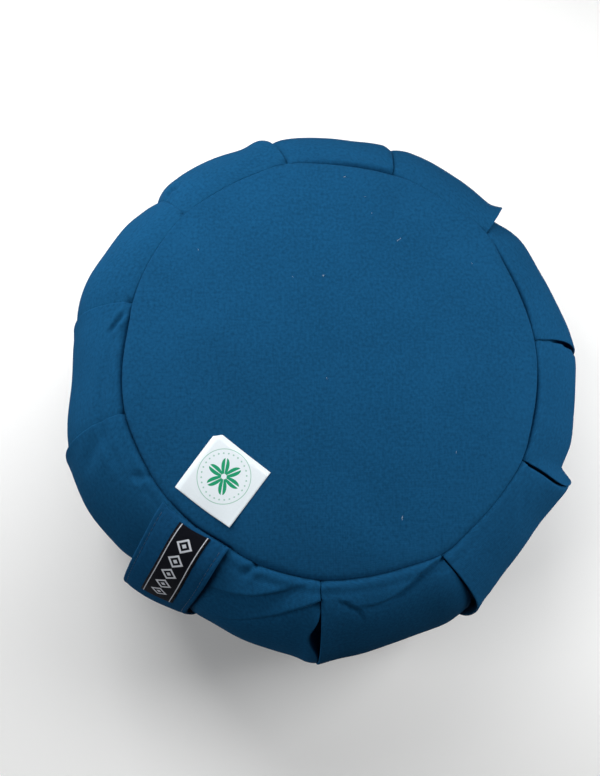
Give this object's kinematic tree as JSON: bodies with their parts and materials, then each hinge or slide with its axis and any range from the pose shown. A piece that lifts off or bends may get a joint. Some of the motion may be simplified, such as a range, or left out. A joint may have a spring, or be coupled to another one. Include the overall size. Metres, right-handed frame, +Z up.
{
  "type": "zafu meditation cushion",
  "caption": "Round, firmly filled meditation cushion with a pleated side band, crowned panels, a fabric carry strap, and small woven and paper labels.",
  "frame": {"origin": "on the floor, at the centre of the flat that the cushion rests on", "axes": "+Z up, -Y towards the carry strap"},
  "size_m": [0.3527, 0.3698, 0.15],
  "materials": {
    "band_canvas": "matte",
    "panel_canvas": "matte",
    "strap_canvas": "matte",
    "woven_label": "satin",
    "paper_label": "satin"
  },
  "bodies": {
    "root": {"side_band": "band_canvas", "top_panel": "panel_canvas", "bottom_panel": "panel_canvas", "handle_strap": "strap_canvas", "woven_label": "woven_label", "paper_label": "paper_label"}
  },
  "joints": []
}
